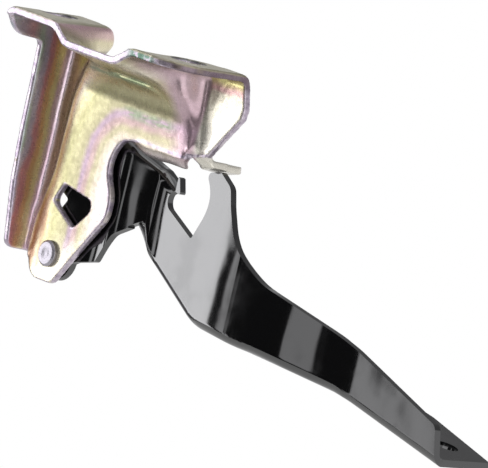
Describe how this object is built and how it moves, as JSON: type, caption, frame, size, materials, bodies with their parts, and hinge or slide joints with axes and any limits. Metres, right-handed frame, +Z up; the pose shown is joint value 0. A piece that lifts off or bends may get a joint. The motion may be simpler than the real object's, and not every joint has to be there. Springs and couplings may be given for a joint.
{
  "type": "hood hinge",
  "caption": "Left-hand hood hinge: drawn sheet bracket with two bolt flanges and a joggled gooseneck arm on a shoulder rivet, held open at a stop tab.",
  "frame": {"origin": "halfway between the two bolt holes of the bracket, on the flanges' top seating face", "axes": "+X runs along the two bolt holes towards the arm's hood end, +Y points from the bracket's open side through its back plate, parallel to the rivet's axis, and +Z is up out of the flanges; the hinge is stored fully open, its horn just short of the stop tab"},
  "size_m": [0.2365, 0.0992, 0.1213],
  "materials": {
    "bracket_zinc": "yellow passivated zinc plate, iridescent",
    "arm_paint": "gloss black dip coat",
    "rivet_steel": "zinc plated, dull",
    "bush_metal": "sintered bronze",
    "washer_steel": "zinc plated, dull"
  },
  "bodies": {
    "bracket": {"hinge_bracket": "bracket_zinc", "pivot_rivet": "rivet_steel", "rear_washer": "washer_steel"},
    "arm": {"hinge_arm": "arm_paint", "pivot_bush": "bush_metal"}
  },
  "joints": [
    {"name": "hinge_swing", "type": "hinge", "parent": "bracket", "child": "arm", "pos_m": [-0.0306, 0.018, -0.0913], "axis": [0, 1, 0], "range_deg": [0, 50]}
  ]
}
